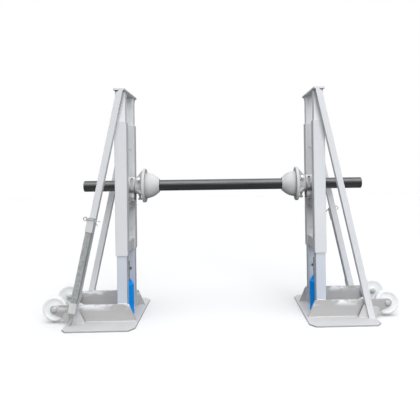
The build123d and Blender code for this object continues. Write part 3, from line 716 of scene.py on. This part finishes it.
# ---------------------------------------------------------------- jack
jack = bmesh.new()
low_bead = [(0.0455, 0.0338)] + arc(0.0440, 0.0352, 0.0020, 0, 90) + [(0.0435, 0.0375)]
high_bead = [(0.0438, 0.2020)] + arc(0.0438, 0.2045, 0.0016, -80, 80, 6) + [(0.0430, 0.2068)]
lathe(jack, UP, low_bead, 64)
lathe(jack, UP, high_bead, 64)
top_nut = Matrix.Translation((0, 0, 0.2330))
hex_head(jack, top_nut, 0.0500, 0.0068)
plug = [(0.0068, -0.004)] + arc(0.0052, 0.0022, 0.0016, 0, 90) + [(0.0030, 0.0038), (0.0026, 0.0026)]
lathe(jack, facing((0.0235, 0.0235, 0.2135), (0.62, 0.62, 0.85)), plug, 24)
pump_nut = Matrix.Translation((-PUMP_OUT, 0, 0.1080))
hex_head(jack, pump_nut, 0.0180, 0.0090)
both("jack_fittings", jack, BLUE, "stand", homes=JACK_HOME)
rod = bmesh.new()
plunger = [(0.0055, 0.110), (0.0055, 0.1285), (0.0045, 0.1297)]
lathe(rod, Matrix.Translation((-PUMP_OUT, 0, 0)), plunger, 24)
both("pump_rod", rod, BRIGHT, "stand", homes=JACK_HOME)

ram = bmesh.new()
thread(ram, UP, 0.0121, 0.0011, 0.0030, 0.3725, 0.4310, 32)
both("ram_thread", ram, BRIGHT, "ram", angle=60)


# ---------------------------------------------------------------- camera, light, floor
# The camera as it was solved from the photograph: metres, radians and pixels
EYE = (0.0026, -3.7372, 1.0244)
YAW, PITCH, ROLL = 0.02821, 0.00747, -0.01348
PICTURE, FOCAL, CENTRE = 420, 529.99, (235.87, 161.94)
SENSOR = 36.0

SKY = (0.975, 0.985, 1.0, 1)
SKY_LOW, SKY_RISE = 0.14, 0.80                      # strength at the horizon, and more overhead
SKY_MIRRORED, SKY_MIRRORED_TOP = 1.6, 0.8           # plain white that metal shows: rise and limit

FLOOR_HALF, FLOOR_DROP = 14.0, 0.0004
FLOOR_GREY, FLOOR_SEEN, FLOOR_GLOW = 0.10, 0.80, 0.04    # bounced, seen, and added where seen
FLOOR_MIRRORED = 0.12                               # how much of the seen floor metal shows


def placed(name, data):
    obj = bpy.data.objects.new(name, data)
    scene.collection.objects.link(obj)
    return obj


def camera():
    data = bpy.data.cameras.new("camera")
    obj = placed("camera", data)
    ahead = Vector((math.sin(YAW), math.cos(YAW), 0))
    right = Vector((math.cos(YAW), -math.sin(YAW), 0))
    forward = ahead * math.cos(PITCH) + Vector((0, 0, math.sin(PITCH)))
    up = Vector((0, 0, math.cos(PITCH))) - ahead * math.sin(PITCH)
    side = right * math.cos(ROLL) + up * math.sin(ROLL)
    top = up * math.cos(ROLL) - right * math.sin(ROLL)
    spin = Matrix((side, top, -forward)).transposed().to_4x4()
    obj.matrix_world = Matrix.Translation(EYE) @ spin
    data.sensor_width = SENSOR
    data.lens = FOCAL / PICTURE * SENSOR
    data.shift_x = -(CENTRE[0] - PICTURE / 2) / PICTURE
    data.shift_y = -(PICTURE / 2 - CENTRE[1]) / PICTURE
    data.clip_end = 60
    scene.camera = obj


def area(name, place, target, size, watts, colour=(1, 1, 1)):
    """Soft panel that reflections don't show."""
    data = bpy.data.lights.new(name, "AREA")
    data.shape, data.size, data.size_y = "RECTANGLE", size[0], size[1]
    data.energy, data.color = watts, colour
    obj = placed(name, data)
    obj.location = place
    obj.visible_glossy = False
    obj.rotation_euler = (Vector(target) - Vector(place)).to_track_quat("-Z", "Y").to_euler()


def sun(name, heading, height, strength, spread, shown=True):
    """Wide soft lamp from a heading (0 behind the camera, 90 at the right) and height, in degrees."""
    data = bpy.data.lights.new(name, "SUN")
    data.energy, data.angle = strength, math.radians(spread)
    obj = placed(name, data)
    obj.visible_glossy = shown
    obj.rotation_euler = (math.radians(90 - height), 0, math.radians(heading))


def world():
    """Pale sky, brighter overhead, also in reflections; the camera sees plain white."""
    studio = bpy.data.worlds.new("studio")
    scene.world = studio
    studio.use_nodes = True
    w = Nodes(studio.node_tree)
    direction = w.add("ShaderNodeTexCoord").outputs["Generated"]
    overhead = w.math("MAXIMUM", w.axis(2, direction), 0.0)
    back = w.add("ShaderNodeBackground")
    w.put(back.inputs[0], SKY)
    w.put(back.inputs[1], w.math("ADD", w.math("MULTIPLY", overhead, SKY_RISE), SKY_LOW))
    white = w.add("ShaderNodeBackground")
    w.put(white.inputs[0], (1, 1, 1, 1))
    w.put(white.inputs[1], 1.0)
    path = w.add("ShaderNodeLightPath")
    mirrored = w.math("MINIMUM", w.math("MULTIPLY", overhead, SKY_MIRRORED), SKY_MIRRORED_TOP)
    mirrored = w.math("MULTIPLY", path.outputs["Is Glossy Ray"], mirrored)
    share = w.math("MAXIMUM", path.outputs["Is Camera Ray"], mirrored)
    share = w.math("MAXIMUM", share, path.outputs["Is Transmission Ray"])
    mix = w.add("ShaderNodeMixShader")
    w.put(mix.inputs[0], share)
    w.link(back.outputs[0], mix.inputs[1])
    w.link(white.outputs[0], mix.inputs[2])
    w.link(mix.outputs[0], w.add("ShaderNodeOutputWorld").inputs[0])


def floor():
    """White with the object's shadow to the eye and in metal, a dull floor to everything else."""
    mesh = bpy.data.meshes.new("floor")
    s = FLOOR_HALF
    mesh.from_pydata([(-s, -s, 0), (s, -s, 0), (s, s, 0), (-s, s, 0)], [], [(0, 1, 2, 3)])
    obj = placed("floor", mesh)
    obj.location.z = -FLOOR_DROP
    mat = bpy.data.materials.new("floor_white")
    mat.use_nodes = True
    f = Nodes(mat.node_tree)
    path = f.add("ShaderNodeLightPath")
    seen = path.outputs["Is Camera Ray"]
    seen = f.math("MAXIMUM", seen, f.math("MULTIPLY", path.outputs["Is Glossy Ray"], FLOOR_MIRRORED))
    seen = f.math("MAXIMUM", seen, path.outputs["Is Transmission Ray"])
    grey = f.math("ADD", f.math("MULTIPLY", seen, FLOOR_SEEN - FLOOR_GREY), FLOOR_GREY)
    diffuse = f.add("ShaderNodeBsdfDiffuse")
    f.put(diffuse.inputs[0], grey)
    glow = f.add("ShaderNodeEmission")
    f.put(glow.inputs[0], (1, 1, 1, 1))
    f.put(glow.inputs[1], f.math("MULTIPLY", seen, FLOOR_GLOW))
    both_shaders = f.add("ShaderNodeAddShader")
    f.link(diffuse.outputs[0], both_shaders.inputs[0])
    f.link(glow.outputs[0], both_shaders.inputs[1])
    f.link(both_shaders.outputs[0], f.add("ShaderNodeOutputMaterial").inputs[0])
    mesh.materials.append(mat)


camera()
world()
floor()
sun("front", 6, 18, 1.30, 40, shown=False)
sun("top", 6, 68, 1.15, 60)
sun("back", 186, 25, 0.60, 60, shown=False)
area("right_fill", (1.5, -2.8, 1.6), (0.66, 0, 0.8), (0.9, 0.9), 17, (0.88, 0.93, 1.0))
area("crown_fill", (0.2, -2.5, 2.3), (0.0, 0, 1.5), (0.8, 0.5), 4)
scene.view_settings.view_transform = "Standard"
